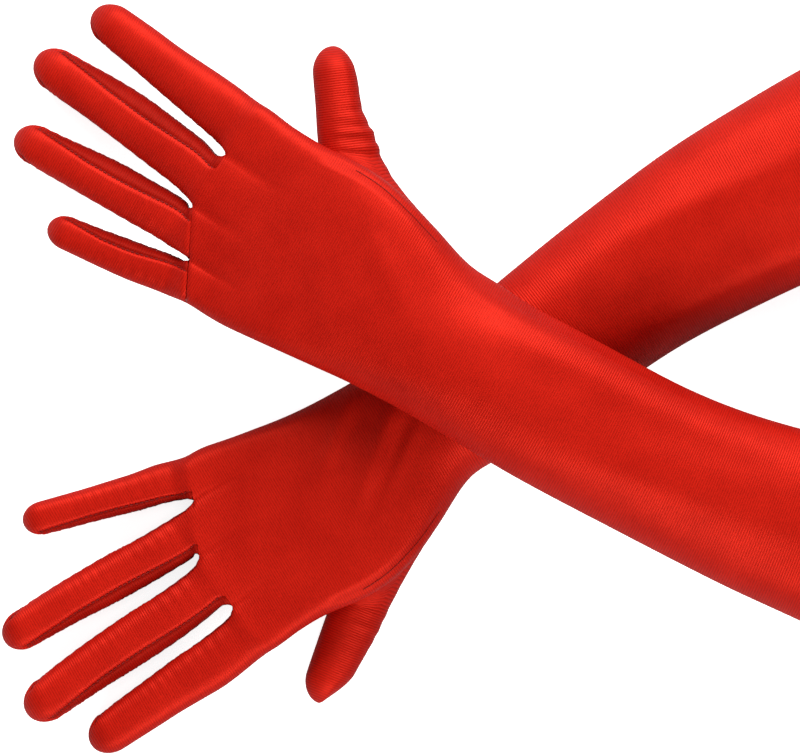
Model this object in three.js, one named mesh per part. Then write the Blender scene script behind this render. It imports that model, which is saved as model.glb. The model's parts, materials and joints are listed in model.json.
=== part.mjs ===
// A pair of opera gloves, the left one lying across the right one at the wrists, backs of the hands up.
// Millimetres, +Z up. Each glove is sewn from thin panels: a trank (hand and sleeve), four finger stalls
// made of backs, fronts and fourchettes, a thumb in two lengths, and a hem with its facing and elastic.
import * as THREE from "three";

// Cloth and clearances.
const CLOTH = 1.2; // wall of every panel
const SEAM_GAP = 0.35; // between panels that are sewn to each other
const CROSSING_GAP = 0.5; // between the two gloves where one lies on the other
const CROSSING_REACH = 16; // how far up the sleeve that lies below the other glove's underside reaches
const CROSSING_SOFTNESS = 30; // length over which a glove that rides over bends

// The hand, from the wrist to where the fingers begin, and its thickness when filled.
const PALM_LENGTH = 105;
const PALM_THICKNESS = 29;
const ROOT_THICKNESS = 18; // where the fingers begin
const PALM_THICKEST = 0.57 * PALM_LENGTH; // where the palm's thickness is measured
const THUMB_SIDE_SHARE = 0.55; // of the palm's breadth, on the thumb's side of the hand's middle
const THUMB_FLARE = { from: 0.05 * PALM_LENGTH, to: 0.46 * PALM_LENGTH }; // wrist to palm, thumb's side
const LITTLE_FLARE = { from: 0, to: 0.9 * PALM_LENGTH }; // the same on the little finger's side
const PALM_TILT = 11; // how far the thumb lifts the hand's thumb side

// The arm, from the wrist to the hem.
const WRIST_BREADTH = 60;
const WRIST_THICKNESS = 42;
const FOREARM_LENGTH = 240;
const ELBOW_BREADTH = 82;
const ELBOW_THICKNESS = 66;
const SLIM_LENGTH = 0.4 * FOREARM_LENGTH; // the slim part of the forearm next to the wrist
const SLIM_BREADTH_GAIN = 0.14; // share of the way from wrist to elbow reached at its end
const SLIM_THICKNESS_GAIN = 0.34;
const SLEEVE_LENGTH = 385;
const HEM_BREADTH = 92;
const HEM_THICKNESS = 78;

// The fingers, from the thumb's side. The web is the room that the root leaves beside the stall,
// and ahead is how far the seam between two fingers lies past the palm's length.
const FINGERS = [
  { name: "index", breadth: 19.5, tip: 15.5, thickness: 16.5, web: 4 },
  { name: "middle", breadth: 19.5, tip: 16.5, thickness: 17, web: 4 },
  { name: "ring", breadth: 17.2, tip: 15, thickness: 16, web: 1.5 },
  { name: "little", breadth: 14.6, tip: 12.5, thickness: 14.5, web: 0.6 },
];
const ROOT_AHEAD = [-2, 2, 3, -6, -13];
const STALL_LEAD = 8; // over which the square root of a stall becomes a round finger
const ROOT_SQUARENESS = 0.35; // exponent of the section at the root, where 1 is an ellipse
const TAPER = 1.5; // exponent of the narrowing towards the tip
const TIP_FLATNESS = 0.9; // thickness over breadth at a tip
const TIP_ROUNDING = 0.62; // length of the rounded end over the breadth at the tip
const TIP_SECTIONS = [0.55, 0.88]; // shares of the rounded end where its sections stand
const FOURCHETTE_PAST = 0.4; // share of the rounded end that the fourchettes reach
const FORK_AT_ROOT = 45; // half a fourchette's angle round the finger
const FORK_AT_TIP = 12;

// The thumb: where its stall begins, on the hand, and the hole in the trank that its base is set in.
const THUMB = { along: 67, breadth: 21, tip: 15.5, thickness: 19, length: 41, out: 0.5 };
const THUMB_HOLE = { from: THUMB.along + 17, to: THUMB.along - 43 };

// The hem.
const FACING_WIDTH = 18;
const ELASTIC_WIDTH = 9;
const BAND_CLOTH = 0.9;

// How each glove lies: the hand's place and heading, the sleeve's headings past the wrist, and each stall's
// length and spread, towards the thumb.
const RIGHT = {
  name: "right",
  wrist: [17, -15],
  handHeading: 211,
  thumbTurn: 1,
  sleeve: { near: 39, far: 27 },
  stalls: { index: [76.5, 4], middle: [89, 3], ring: [86, -1.5], little: [67, -16] },
  thumbAngle: 38,
};
const LEFT = {
  name: "left",
  wrist: [15.5, 13.5],
  handHeading: 150,
  thumbTurn: -1,
  sleeve: { near: -30, far: -21 },
  stalls: { index: [75, 9], middle: [82.5, 6], ring: [78, -0.5], little: [58, -8] },
  thumbAngle: 52,
};
const NEAR_END = 40; // sleeve length over which the heading turns to near
const FAR_END = 150; // and to far
const PATH_STEP = 2.5; // of the sleeve's middle line

const RING_POINTS = 26;
const SATIN = 0xc8190f;
const LINING = 0x8f120b;

const radians = THREE.MathUtils.degToRad;
const mix = THREE.MathUtils.lerp;
const ease = THREE.MathUtils.smoothstep;

// A value that follows a few (place, value) keys in straight lines.
function follow(keys, at) {
  const next = keys.findIndex(([place]) => place >= at);
  if (next === 0) return keys[0][1];
  if (next < 0) return keys.at(-1)[1];
  const [a, b] = [keys[next - 1], keys[next]];
  return mix(a[1], b[1], (at - a[0]) / (b[0] - a[0]));
}

const LITTLE_SIDE_SHARE = 1 - THUMB_SIDE_SHARE;
const PALM_BREADTH = FINGERS.reduce((sum, f) => sum + f.breadth + f.web, 0);
const STALL_END = PALM_LENGTH + 80; // where a glove that crosses comes down to the surface
const TILT_STARTS = { from: -0.1 * PALM_LENGTH, to: 0.4 * PALM_LENGTH };
const TILT_ENDS = { from: 0.8 * PALM_LENGTH, to: STALL_END };

// Half the breadth on the thumb's side and on the little finger's, along the glove (wrist 0, fingers +).
const sleeveBreadth = (u) =>
  follow(
    [
      [-SLEEVE_LENGTH, HEM_BREADTH / 2],
      [-FOREARM_LENGTH, ELBOW_BREADTH / 2],
      [-SLIM_LENGTH, mix(WRIST_BREADTH, ELBOW_BREADTH, SLIM_BREADTH_GAIN) / 2],
      [0, WRIST_BREADTH / 2],
    ],
    u,
  );
const thumbSide = (u) =>
  mix(sleeveBreadth(u), THUMB_SIDE_SHARE * PALM_BREADTH, ease(u, THUMB_FLARE.from, THUMB_FLARE.to));
const littleSide = (u) =>
  mix(sleeveBreadth(u), LITTLE_SIDE_SHARE * PALM_BREADTH, ease(u, LITTLE_FLARE.from, LITTLE_FLARE.to));
const halfThickness = (u) =>
  follow(
    [
      [-SLEEVE_LENGTH, HEM_THICKNESS / 2],
      [-FOREARM_LENGTH, ELBOW_THICKNESS / 2],
      [-SLIM_LENGTH, mix(WRIST_THICKNESS, ELBOW_THICKNESS, SLIM_THICKNESS_GAIN) / 2],
      [0, WRIST_THICKNESS / 2],
      [PALM_THICKEST, PALM_THICKNESS / 2],
      [PALM_LENGTH, ROOT_THICKNESS / 2],
    ],
    u,
  );

// The plan of one glove: places and directions on the surface that it lies on.
class Plan {
  constructor(pose) {
    this.pose = pose;
    const heading = radians(pose.handHeading);
    this.wrist = new THREE.Vector2(...pose.wrist);
    this.ahead = new THREE.Vector2(Math.cos(heading), Math.sin(heading));
    this.thumbward = this.ahead.clone().rotateAround(new THREE.Vector2(), (pose.thumbTurn * Math.PI) / 2);
    this.rise = () => 0;
  }

  sleeveHeading(s) {
    const { near, far } = this.pose.sleeve;
    const start = this.pose.handHeading - 180;
    return radians(follow([[0, start], [NEAR_END, near], [FAR_END, far]], s));
  }

  // The middle of the glove at u and the direction across it towards the thumb.
  station(u) {
    if (u >= 0) return [this.wrist.clone().addScaledVector(this.ahead, u), this.thumbward];
    const middle = this.wrist.clone();
    for (let s = 0; s < -u; s += PATH_STEP) {
      const ds = Math.min(PATH_STEP, -u - s);
      const h = this.sleeveHeading(s + ds / 2);
      middle.x += ds * Math.cos(h);
      middle.y += ds * Math.sin(h);
    }
    const h = this.sleeveHeading(-u) - (this.pose.thumbTurn * Math.PI) / 2;
    return [middle, new THREE.Vector2(Math.cos(h), Math.sin(h))];
  }

  // The lift of the hand over its own thumb.
  tilt(u, v) {
    const share = THREE.MathUtils.clamp(v / PALM_BREADTH + LITTLE_SIDE_SHARE, 0, 1);
    const starts = ease(u, TILT_STARTS.from, TILT_STARTS.to);
    const ends = ease(u, TILT_ENDS.from, TILT_ENDS.to);
    return PALM_TILT * share * starts * (1 - ends);
  }

  // A point u along the glove, v towards the thumb and z above the surface under it.
  place(u, v, z) {
    const [middle, across] = this.station(u);
    return new THREE.Vector3(
      middle.x + across.x * v,
      middle.y + across.y * v,
      z + this.rise(u),
    );
  }
}

// Where the middle lines of two plans cross, as their places along the two gloves.
function crossing(a, b) {
  let best = { gap: Infinity };
  for (let s = 0; s < FAR_END; s += PATH_STEP) {
    for (let t = 0; t < FAR_END; t += PATH_STEP) {
      const gap = a.station(-s)[0].distanceTo(b.station(-t)[0]);
      if (gap < best.gap) best = { gap, under: -s, over: -t };
    }
  }
  return best;
}

// A glove that crosses another stands on it at the wrist and comes down to the surface at both ends.
function rideOver(over, under) {
  const at = crossing(under, over);
  const top = 2 * halfThickness(at.under - CROSSING_REACH) + CROSSING_GAP;
  const soft = (x) => Math.hypot(x, CROSSING_SOFTNESS) - CROSSING_SOFTNESS;
  over.rise = (u) => {
    const end = u > at.over ? STALL_END : -SLEEVE_LENGTH;
    return Math.max(0, top * (1 - soft(u - at.over) / soft(end - at.over)));
  };
}

const power = (x, e) => Math.sign(x) * Math.abs(x) ** e;

// The seam between two fingers at the root line, numbered from the index finger's outer side.
function rootPoint(n) {
  const taken = FINGERS.slice(0, n).reduce((sum, f) => sum + f.breadth + f.web, 0);
  return new THREE.Vector2(PALM_LENGTH + ROOT_AHEAD[n], THUMB_SIDE_SHARE * PALM_BREADTH - taken);
}

// One finger of a glove: sections at a distance from its root.
class Finger {
  constructor(plan, n) {
    Object.assign(this, FINGERS[n]);
    this.plan = plan;
    const [a, b] = [rootPoint(n), rootPoint(n + 1)];
    this.root = a.clone().lerp(b, 0.5);
    this.rootAcross = a.clone().sub(b).normalize();
    this.rootHalf = a.distanceTo(b) / 2;
    [this.length, this.spread] = plan.pose.stalls[this.name];
    const turn = radians(this.spread);
    this.direction = new THREE.Vector2(Math.cos(turn), Math.sin(turn));
    this.across = new THREE.Vector2(-Math.sin(turn), Math.cos(turn));
    this.lead = STALL_LEAD;
    this.round = this.tip * TIP_ROUNDING;
  }

  // Half breadth, half thickness, squareness and the fourchette's half angle at a distance x.
  section(x) {
    const cap = Math.max(0, (x - this.length + this.round) / this.round);
    const end = Math.sqrt(Math.max(0, 1 - cap * cap));
    const near = ease(x, 0, this.lead);
    const along = x / this.length;
    const narrowing = along ** TAPER;
    const body = mix(this.breadth, this.tip, narrowing) / 2;
    const depth = mix(this.thickness, TIP_FLATNESS * this.tip, narrowing) / 2;
    const half = mix(this.rootHalf - SEAM_GAP / 2, body, near);
    const thick = mix(ROOT_THICKNESS / 2, depth, near);
    return {
      half: half * end,
      thick: thick * end,
      square: mix(ROOT_SQUARENESS, 1, near),
      fork: mix(FORK_AT_ROOT, FORK_AT_TIP, along),
    };
  }

  // A point at x along the finger and an angle round it, from the thumb's side over the back.
  point(x, angle, inset = 0) {
    const s = this.section(x);
    const near = ease(x, 0, this.lead);
    const across = this.rootAcross.clone().lerp(this.across, near).normalize();
    const side = (s.half - inset) * power(Math.cos(angle), s.square);
    const up = (s.thick - inset) * power(Math.sin(angle), s.square);
    const uv = this.root.clone().addScaledVector(this.direction, x).addScaledVector(across, side);
    return this.plan.place(uv.x, uv.y, s.thick + up + this.plan.tilt(uv.x, uv.y));
  }
}

// A closed thin solid from a grid of outer points and the matching inner points.
// Kept faces get both skins, and every edge that only one kept face has gets a rim.
function shell(outer, inner, round, keep = () => true) {
  const rows = outer.length;
  const columns = outer[0].length;
  const id = (i, j) => i * columns + (j % columns);
  const faces = [];
  for (let i = 0; i + 1 < rows; i++) {
    for (let j = 0; j + (round ? 0 : 1) < columns; j++) {
      if (keep(i, j)) faces.push([id(i, j), id(i + 1, j), id(i + 1, j + 1), id(i, j + 1)]);
    }
  }
  const points = [...outer.flat(), ...inner.flat()];
  const other = rows * columns;
  const edges = new Map();
  for (const face of faces) {
    face.forEach((a, k) => {
      const b = face[(k + 1) % 4];
      if (!edges.delete(`${b}_${a}`)) edges.set(`${a}_${b}`, [a, b]);
    });
  }
  const quads = faces.flatMap((f) => [f, f.map((k) => k + other).reverse()]);
  for (const [a, b] of edges.values()) quads.push([b, a, a + other, b + other]);
  return solid(points, quads);
}

function solid(points, quads) {
  const triangles = quads.flatMap(([a, b, c, d]) => [[a, b, c], [a, c, d]]);
  const volume = triangles.reduce(
    (sum, [a, b, c]) => sum + points[a].dot(points[b].clone().cross(points[c])),
    0,
  );
  const index = triangles.flatMap((t) => (volume < 0 ? t.toReversed() : t));
  const geometry = new THREE.BufferGeometry().setFromPoints(points);
  geometry.setIndex(index);
  geometry.computeVertexNormals();
  return geometry;
}

const pair = new THREE.Group();

function add(name, geometry, color = SATIN, roughness = 0.42) {
  const material = new THREE.MeshStandardMaterial({ color, roughness, metalness: 0 });
  const mesh = new THREE.Mesh(geometry, material);
  mesh.name = name;
  pair.add(mesh);
}

// Stations of the trank: from the root line down the palm and the sleeve to the hem.
const HOLE_STATIONS = [0, 1, 2, 3].map((k) => mix(THUMB_HOLE.from, THUMB_HOLE.to, k / 3));
const SLEEVE_STATIONS = [0.1, 0.23, 0.37, 0.5, 0.62, 0.75, 0.88, 1].map((k) => -k * SLEEVE_LENGTH);
const KNUCKLES = mix(PALM_LENGTH, THUMB_HOLE.from, 0.5);
const STATIONS = [PALM_LENGTH, KNUCKLES, ...HOLE_STATIONS, 0, ...SLEEVE_STATIONS];
const SLANT_STARTS = 0.45 * PALM_LENGTH; // where the rings begin to follow the root line's slant
const HOLE_ROW = 2;
const HOLE_COLUMN = 22; // the hole takes three faces up to the hand's thumb-side edge
const HOLE_FACES = 3; // across, and as many along

// The ring where the fingers begin, as shares of the section at the root, with how far ahead each point is.
function rootRing(fingers) {
  const point = (n, degrees) => {
    const f = fingers[n];
    const [c, s] = [Math.cos(radians(degrees)), Math.sin(radians(degrees))];
    const uv = f.root.clone().addScaledVector(f.rootAcross, f.rootHalf * power(c, ROOT_SQUARENESS));
    return { ahead: uv.x - PALM_LENGTH, v: uv.y, up: power(s, ROOT_SQUARENESS) };
  };
  const [corner, far] = [FORK_AT_ROOT, 180 - FORK_AT_ROOT];
  const backs = [0, 1, 2, 3].flatMap((n) => [corner, 90, far].map((a) => point(n, a)));
  const fronts = [3, 2, 1, 0].flatMap((n) => [corner + 180, 270, far + 180].map((a) => point(n, a)));
  return [...backs, point(3, 180), ...fronts, point(0, 360)];
}

// The trank's ring at u, inset from the outside.
function trankRing(plan, root, u, inset) {
  const [thumb, little] = [thumbSide(u) - inset, littleSide(u) - inset];
  const thick = halfThickness(u) - inset;
  const flat = ease(u, 0, PALM_LENGTH);
  const slant = ease(u, SLANT_STARTS, PALM_LENGTH);
  return root.map(({ ahead, v, up }, j) => {
    const angle = ((j + 1) / RING_POINTS) * 2 * Math.PI;
    const share = mix((1 + Math.cos(angle)) / 2, v / PALM_BREADTH + LITTLE_SIDE_SHARE, flat);
    const across = mix(-little, thumb, share);
    const at = u + slant * ahead;
    const height = halfThickness(u) + thick * mix(Math.sin(angle), up, flat);
    return plan.place(at, across, height + plan.tilt(at, across));
  });
}

function addTrank(plan, fingers) {
  const root = rootRing(fingers);
  const rings = (inset) => STATIONS.map((u) => trankRing(plan, root, u, inset));
  const hole = (i, j) =>
    i >= HOLE_ROW && i < HOLE_ROW + HOLE_FACES && j >= HOLE_COLUMN && j < HOLE_COLUMN + HOLE_FACES;
  const [outer, inner] = [rings(0), rings(CLOTH)];
  add(`${plan.pose.name}_trank`, shell(outer, inner, true, (i, j) => !hole(i, j)));
  return { outer, inner };
}

// The edge of the thumb hole, from its fingertip end along the hand's edge and back underneath.
function holeLoop(grid) {
  const at = (i, j) => grid[HOLE_ROW + i][HOLE_COLUMN + j];
  return [
    at(0, 3), at(1, 3), at(2, 3), at(3, 3), at(3, 2), at(3, 1),
    at(3, 0), at(2, 0), at(1, 0), at(0, 0), at(0, 1), at(0, 2),
  ];
}

const LOOP_POINTS = 4 * HOLE_FACES;
const FIRST_CORNER = 45; // angle round the thumb that the loop's first corner goes to
const THUMB_ROUND = THUMB.tip * TIP_ROUNDING;
const BASE_STEPS = [0, 0.35, 0.7, 1];

class Thumb {
  constructor(plan) {
    this.plan = plan;
    const turn = radians(plan.pose.thumbAngle);
    this.direction = new THREE.Vector2(Math.cos(turn), Math.sin(turn));
    this.across = new THREE.Vector2(Math.sin(turn), -Math.cos(turn));
    this.root = new THREE.Vector2(THUMB.along, thumbSide(THUMB.along) + THUMB.out);
  }

  ring(x, inset) {
    const cap = Math.max(0, (x - THUMB.length + THUMB_ROUND) / THUMB_ROUND);
    const end = Math.sqrt(Math.max(0, 1 - cap * cap));
    const narrowing = Math.max(0, x / THUMB.length) ** TAPER;
    const half = (mix(THUMB.breadth, THUMB.tip, narrowing) / 2) * end;
    const thick = (mix(THUMB.thickness, TIP_FLATNESS * THUMB.tip, narrowing) / 2) * end;
    const middle = this.root.clone().addScaledVector(this.direction, x);
    return Array.from({ length: LOOP_POINTS }, (_, k) => {
      const angle = radians(FIRST_CORNER) + (2 * Math.PI * k) / LOOP_POINTS;
      const uv = middle.clone().addScaledVector(this.across, (half - inset) * Math.cos(angle));
      return this.plan.place(uv.x, uv.y, thick + (thick - inset) * Math.sin(angle));
    });
  }
}

// The base lofts from the hole's edge to the stall's first ring.
function addThumb(plan, trank) {
  const thumb = new Thumb(plan);
  const loft = (grid, inset) => {
    const loop = holeLoop(grid);
    const centre = loop.reduce((sum, p) => sum.add(p), new THREE.Vector3()).divideScalar(loop.length);
    const start = loop.map((p) => {
      const inward = centre.clone().sub(p).normalize();
      return p.clone().addScaledVector(inward, 2 * SEAM_GAP);
    });
    const end = thumb.ring(0, inset);
    return BASE_STEPS.map((w) => start.map((p, k) => p.clone().lerp(end[k], w)));
  };
  add(`${plan.pose.name}_thumb_base`, shell(loft(trank.outer, 0), loft(trank.inner, CLOTH), true));
  const straight = THUMB.length - THUMB_ROUND;
  const tip = TIP_SECTIONS.map((share) => straight + share * THUMB_ROUND);
  const places = [SEAM_GAP, straight / 2, straight, ...tip];
  const rings = (inset) => places.map((x) => thumb.ring(x, inset));
  add(`${plan.pose.name}_thumb_stall`, shell(rings(0), rings(CLOTH), true));
}

// One panel of a finger: from one angle to another round it, in steps, between two places along it.
function panel(finger, places, angles) {
  const rows = (inset) => places.map((x) => angles(finger, x).map((a) => finger.point(x, a, inset)));
  return shell(rows(0), rows(CLOTH), false);
}

// Angles of a panel at x: its seams follow the fourchettes, which narrow towards the tip.
const PANELS = {
  back: (f, x) => arcAngles(f, x, f.section(x).fork, 180 - f.section(x).fork, 2),
  front: (f, x) => arcAngles(f, x, 180 + f.section(x).fork, 360 - f.section(x).fork, 2),
  thumbward: (f, x) => arcAngles(f, x, -f.section(x).fork, f.section(x).fork, 2),
  outward: (f, x) => arcAngles(f, x, 180 - f.section(x).fork, 180 + f.section(x).fork, 2),
  indexWrap: (f, x) => arcAngles(f, x, f.section(x).fork - 180, 180 - f.section(x).fork, 6),
  littleWrap: (f, x) => arcAngles(f, x, f.section(x).fork, 360 - f.section(x).fork - 90, 4),
  littleFront: (f, x) => arcAngles(f, x, 270 - f.section(x).fork, 360 - f.section(x).fork, 2),
};

function arcAngles(finger, x, from, to, steps) {
  const half = Math.max(1, finger.section(x).half);
  const pad = SEAM_GAP / 2 / half;
  const [a, b] = [radians(from) + pad, radians(to) - pad];
  return Array.from({ length: steps + 1 }, (_, k) => mix(a, b, k / steps));
}

const SEWN = {
  index: { stall: "indexWrap", fourchette: "outward" },
  middle: { back: "back", front: "front", fourchette_a: "thumbward", fourchette_b: "outward" },
  ring: { back: "back", front: "front", fourchette_a: "thumbward", fourchette_b: "outward" },
  little: { back: "littleWrap", front: "littleFront", fourchette: "thumbward" },
};

function addFinger(plan, finger) {
  const end = finger.length - finger.round;
  const past = (share) => end + share * finger.round;
  const body = [SEAM_GAP, finger.lead, 0.45 * finger.length, end];
  for (const [piece, kind] of Object.entries(SEWN[finger.name])) {
    const last = piece.startsWith("fourchette") ? [FOURCHETTE_PAST] : TIP_SECTIONS;
    const places = [...body, ...last.map(past)];
    add(`${plan.pose.name}_${finger.name}_${piece}`, panel(finger, places, PANELS[kind]));
  }
}

// A band inside the sleeve's end, inset from the outside.
function addBand(plan, root, name, width, inset, color, roughness) {
  const places = [-SLEEVE_LENGTH + width, -SLEEVE_LENGTH];
  const rings = (extra) => places.map((u) => trankRing(plan, root, u, inset + extra));
  add(`${plan.pose.name}_${name}`, shell(rings(0), rings(BAND_CLOTH), true), color, roughness);
}

function addGlove(plan) {
  const fingers = FINGERS.map((_, n) => new Finger(plan, n));
  const trank = addTrank(plan, fingers);
  addThumb(plan, trank);
  fingers.forEach((finger) => addFinger(plan, finger));
  const elasticInset = CLOTH + SEAM_GAP;
  const facingInset = elasticInset + BAND_CLOTH + SEAM_GAP;
  addBand(plan, rootRing(fingers), "hem_elastic", ELASTIC_WIDTH, elasticInset, LINING, 0.8);
  addBand(plan, rootRing(fingers), "hem_facing", FACING_WIDTH, facingInset, SATIN, 0.6);
}

const right = new Plan(RIGHT);
const left = new Plan(LEFT);
rideOver(left, right);
addGlove(right);
addGlove(left);

// The origin is the middle of the pair's underside.
const box = new THREE.Box3().setFromObject(pair);
const centre = box.getCenter(new THREE.Vector3());
pair.position.set(-centre.x, -centre.y, -box.min.z);

export default pair;
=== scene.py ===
"""Looks of a pair of stretch-satin opera gloves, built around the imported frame.

The left glove lies across the right one at the wrists, backs of the hands up. Shapes are worked out in
millimetres, in each glove's own coordinates: u along the glove (wrist 0, fingers +), v towards the thumb
and z above the surface. Angles round a finger start at the thumb's side and go over the back.
"""
import json
import math

import bmesh
import bpy
import numpy as np
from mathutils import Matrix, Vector


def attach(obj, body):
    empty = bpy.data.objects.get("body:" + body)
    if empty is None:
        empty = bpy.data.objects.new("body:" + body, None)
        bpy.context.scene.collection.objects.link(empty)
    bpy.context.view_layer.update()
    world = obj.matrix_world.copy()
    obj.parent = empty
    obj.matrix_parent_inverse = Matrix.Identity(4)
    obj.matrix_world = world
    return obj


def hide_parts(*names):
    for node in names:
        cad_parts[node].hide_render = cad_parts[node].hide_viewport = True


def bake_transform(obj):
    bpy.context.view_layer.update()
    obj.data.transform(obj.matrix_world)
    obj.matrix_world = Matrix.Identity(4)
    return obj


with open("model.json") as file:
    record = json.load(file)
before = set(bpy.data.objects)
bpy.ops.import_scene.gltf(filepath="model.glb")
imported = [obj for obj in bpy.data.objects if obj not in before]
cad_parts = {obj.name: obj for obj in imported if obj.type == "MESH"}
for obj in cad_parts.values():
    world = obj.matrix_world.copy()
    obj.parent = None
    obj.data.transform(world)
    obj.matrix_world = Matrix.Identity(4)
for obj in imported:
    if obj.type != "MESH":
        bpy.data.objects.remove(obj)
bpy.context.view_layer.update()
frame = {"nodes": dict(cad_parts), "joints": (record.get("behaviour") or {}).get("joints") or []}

MM = 0.001

# The hand and the arm, as in the frame.
PALM_LENGTH = 105
ROOT_THICKNESS = 18
PALM_TILT = 11
SLEEVE_LENGTH = 385
STALL_END = PALM_LENGTH + 80
FINGERS = {
    "index": {"breadth": 19.5, "tip": 15.5, "thickness": 16.5, "web": 4},
    "middle": {"breadth": 19.5, "tip": 16.5, "thickness": 17, "web": 4},
    "ring": {"breadth": 17.2, "tip": 15, "thickness": 16, "web": 1.5},
    "little": {"breadth": 14.6, "tip": 12.5, "thickness": 14.5, "web": 0.6},
}
ROOT_AHEAD = [-2, 2, 3, -6, -13]
PALM_BREADTH = sum(f["breadth"] + f["web"] for f in FINGERS.values())
THUMB_SIDE = 0.55 * PALM_BREADTH
LITTLE_SIDE = PALM_BREADTH - THUMB_SIDE
THUMB = {"along": 67, "breadth": 21, "tip": 15.5, "thickness": 19, "out": 0.5}
RIGHT_THUMB_ANGLE = 38
HOLE = {"from": 84, "to": 24}

# Half breadths on the thumb's and the little finger's side and half the filled thickness, as (u, value).
THUMB_EDGE = [(-385, 46), (-240, 41), (-96, 31.6), (-40, 29.9), (0, 29.6), (24, 36.3), (34, 39.3),
              (48, 42.6), (60, 43.4), (78, 42.4), (91, 42.9), (105, THUMB_SIDE)]
LITTLE_EDGE = [(-385, 46), (-240, 41), (-96, 31.6), (-40, 30), (0, 29.9), (22, 30.8), (35, 32),
               (54, 33.8), (73, 35.2), (93, LITTLE_SIDE), (105, LITTLE_SIDE)]
HALF_THICKNESS = [(-385, 39), (-240, 33), (-96, 25), (0, 20.5), (60, 14.2), (92, 9.7), (105, 9)]

# How each glove lies, as in the frame: the hand's heading, and the sleeve's near the wrist and further up,
# in degrees, and each stall's length and its spread towards the thumb in degrees.
# Then how its cloth stands off its frame. lean moves a stall towards the thumb, tip_shift only its tip, and
# swell its fourchette there. roll turns the seams on the thumb's side up to the back, at the root and at
# mid-length, so that they show from above, and outer_roll turns the other side's down. The shapes change
# the hand's and the sleeve's half breadths, as (u, reach, amount).
RIGHT = {
    "name": "right", "wrist": (17, -15), "heading": 211, "turn": 1, "near": 39, "far": 27,
    "stalls": {"index": (76.5, 4), "middle": (89, 3), "ring": (86, -1.5), "little": (67, -16)},
    "lean": {"index": 0.3, "middle": 0.3, "ring": -0.3, "little": -1.2},
    "thumb": {"angle": 37, "breadth": 19.6, "length": 40.2, "back": 0.8, "flare": 1.8, "reach": 32,
              "taper": 4.6, "creases": 0.12},
    "roll": (10, 26), "outer_roll": (12, 47),
    "swell": {"index": 0, "middle": 1.2, "ring": 1.7, "little": 0},
    "tip_shift": {"index": 0, "middle": 0.8, "ring": 1, "little": 0},
    "thumb_shape": [(0, 22, -5.5), (84, 14, -1), (108, 16, -2), (-170, 70, -1)],
    "little_shape": [(45, 26, -2), (103, 14, 1.8), (-150, 60, 3)],
}
LEFT = {
    "name": "left", "wrist": (15.5, 13.5), "heading": 150, "turn": -1, "near": -30, "far": -21,
    "stalls": {"index": (75, 9), "middle": (82.5, 6), "ring": (78, -0.5), "little": (58, -8)},
    "lean": {"index": 0.2, "middle": 1, "ring": 0.8, "little": 0.2},
    "thumb": {"angle": 53.5, "breadth": 18.8, "length": 40.4, "back": -1.8, "flare": 3.8, "reach": 16,
              "taper": 1.2, "creases": 0.36},
    "roll": (17, 35), "outer_roll": (52, 55),
    "swell": {"index": 0, "middle": 1.9, "ring": 1.8, "little": 0.4},
    "tip_shift": {"index": -0.7, "middle": -1, "ring": -0.4, "little": 0.4},
    "thumb_shape": [(-8, 12, 1), (-110, 40, -1.8)],
    "little_shape": [(104, 14, -0.9), (-160, 90, -1.1)],
}
NEAR_END = 40
FAR_END = 150
CROSSING_REACH = 16
CROSSING_SOFTNESS = 30
CROSSING_GAP = 0.5

# How far past the root line a stall takes its own section, its swell, its lean and its own breadth. The
# hand's edges go on along the index and the little stall, and narrow more slowly.
ROOT_REACH = 8
SWELL_REACH = 9
LEAN_REACH = 14
SPREAD_REACH = 25
EDGE_REACH = 45
CROTCH_ROUNDNESS = 0.25  # 1 for a crotch that ends in a point, less for a rounder one

# Cloth and sewing.
CLOTH = 0.6
RIB_PITCH = 0.95
WRONG_SIDE_RIB_PITCH = 1.3
ROUNDING = 0.62  # length of a stall's rounded end, as a share of its breadth there
CROTCH_ANGLE = 30  # where the wall between two fingers turns into the back, at the root
CROTCH_DIP = 0.15  # how far the back sinks between two knuckles, as a share of half the thickness
STITCH_PITCH = 2
SEAM_SINK = 0.75  # how deep a seam lies in the cloth
SEAM_REACH = 0.8  # how far from the seam the cloth rolls in
STRIP_FLATNESS = 0.4  # 0 for a fourchette as round as its stall, 1 for a flat one
TIP_ROLL = 28  # how far above the middle the seam runs round a fingertip, in degrees
TIP_DROP = 0.45  # 0 for a tip at half the stall's height, 1 for one that comes down to its underside
CAP_ROWS = 14  # rows of cloth over a rounded end
HOLE_COLUMNS = 9  # columns of the palm that the thumb's hole takes
BASE_LENGTH = 25  # of the thumb's base, from the hole to its stall
HEM_ROLL = 1.4  # the sleeve's cloth goes past the hem's line and turns in

# The seam over the thumb's base, by u: where it begins and ends, how far inside the hand's edge it runs,
# and the stretch on which its thread shows, as a dark line that also paints the shade at the hand's edge.
THUMB_SEAM = {"from": 72, "to": 8, "inside": 3, "stitched": (60, 20)}

# The facing's section, from the hem's line up the sleeve: how far up, and how deep inside the sleeve.
FACING = [(-HEM_ROLL, 0.95), (-1.2, 1.5), (-0.8, 2.2), (-0.2, 2.7), (0.6, 2.9), (2, 3), (5, 3), (9, 2.9),
          (12, 2.3), (14.5, 1.6), (16, 1.2), (17, 1.1), (18, 1.1)]
HEM_STITCHES = (16.5, 2.5)  # how far up the sleeve the two rows of top stitches run


def ease(x, low, high):
    t = np.clip((x - low) / (high - low), 0, 1)
    return t * t * (3 - 2 * t)


def mix(a, b, t):
    return a + (b - a) * t


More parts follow.
